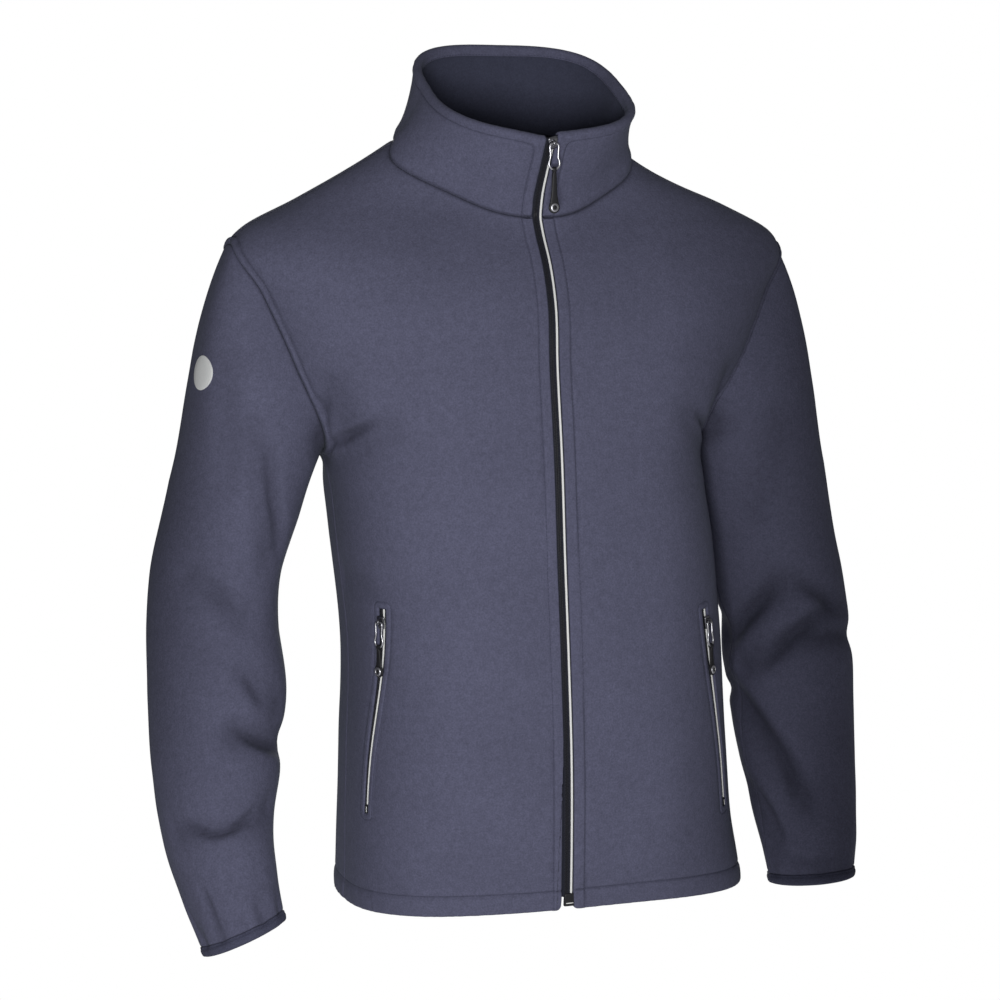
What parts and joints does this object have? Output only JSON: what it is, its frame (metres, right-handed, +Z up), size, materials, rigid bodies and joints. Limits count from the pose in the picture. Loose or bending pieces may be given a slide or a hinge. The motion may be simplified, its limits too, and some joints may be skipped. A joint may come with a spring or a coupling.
{
  "type": "fleece zip jacket",
  "caption": "Worn-shape fleece zip jacket: hollow body, long sleeves, stand collar, full front zip and zipped hand pockets, open at neck, hem and cuffs.",
  "frame": {"origin": "middle of the neck base, at the height of the shoulders beside the neck, where the wearer holds the jacket up", "axes": "+X towards the wearer's left, +Y to the back, +Z up"},
  "size_m": [0.6904, 0.2836, 0.8007],
  "materials": {
    "fleece": "matt brushed fleece, slate blue-grey",
    "binding": "matt stretch binding, dark navy",
    "zip_tape": "nylon coil and woven tape, black",
    "piping": "silver-white reflective piping, satin",
    "metal": "dark nickel, satin",
    "puller": "moulded soft plastic, black, satin"
  },
  "bodies": {
    "root": {"back": "fleece", "collar_inner": "fleece", "collar_outer": "fleece", "cuff_binding_left": "binding", "cuff_binding_right": "binding", "front_left": "fleece", "front_right": "fleece", "front_zip_band": "zip_tape", "front_zip_piping": "piping", "front_zip_retainer": "puller", "front_zip_slider": "metal", "left_pocket_band": "zip_tape", "left_pocket_piping": "piping", "left_pocket_slider": "metal", "right_pocket_band": "zip_tape", "right_pocket_piping": "piping", "right_pocket_slider": "metal", "sleeve_left": "fleece", "sleeve_right": "fleece"},
    "front_zip_wire": {"front_zip_wire": "metal"},
    "front_zip_tab": {"front_zip_tab": "puller"},
    "left_pocket_wire": {"left_pocket_wire": "metal"},
    "left_pocket_tab": {"left_pocket_tab": "puller"},
    "right_pocket_wire": {"right_pocket_wire": "metal"},
    "right_pocket_tab": {"right_pocket_tab": "puller"}
  },
  "joints": [
    {"name": "front_zip_wire_swing", "type": "hinge", "parent": "root", "child": "front_zip_wire", "pos_m": [0.00221, -0.10615, -0.00233], "axis": [-1, -0.0012, 0], "range_deg": [0, 120]},
    {"name": "front_zip_tab_swing", "type": "hinge", "parent": "front_zip_wire", "child": "front_zip_tab", "pos_m": [0.00221, -0.10615, -0.02533], "axis": [-1, -0.0012, 0], "range_deg": [0, 55]},
    {"name": "left_pocket_wire_swing", "type": "hinge", "parent": "root", "child": "left_pocket_wire", "pos_m": [0.15523, -0.10476, -0.4406], "axis": [-0.7591, -0.6509, 0], "range_deg": [0, 120]},
    {"name": "left_pocket_tab_swing", "type": "hinge", "parent": "left_pocket_wire", "child": "left_pocket_tab", "pos_m": [0.15628, -0.10597, -0.46355], "axis": [-0.7591, -0.6509, 0], "range_deg": [0, 55]},
    {"name": "right_pocket_wire_swing", "type": "hinge", "parent": "root", "child": "right_pocket_wire", "pos_m": [-0.15254, -0.07452, -0.42828], "axis": [-0.4401, 0.8979, 0], "range_deg": [0, 120]},
    {"name": "right_pocket_tab_swing", "type": "hinge", "parent": "right_pocket_wire", "child": "right_pocket_tab", "pos_m": [-0.15254, -0.07452, -0.45128], "axis": [-0.4401, 0.8979, 0], "range_deg": [0, 55]}
  ]
}
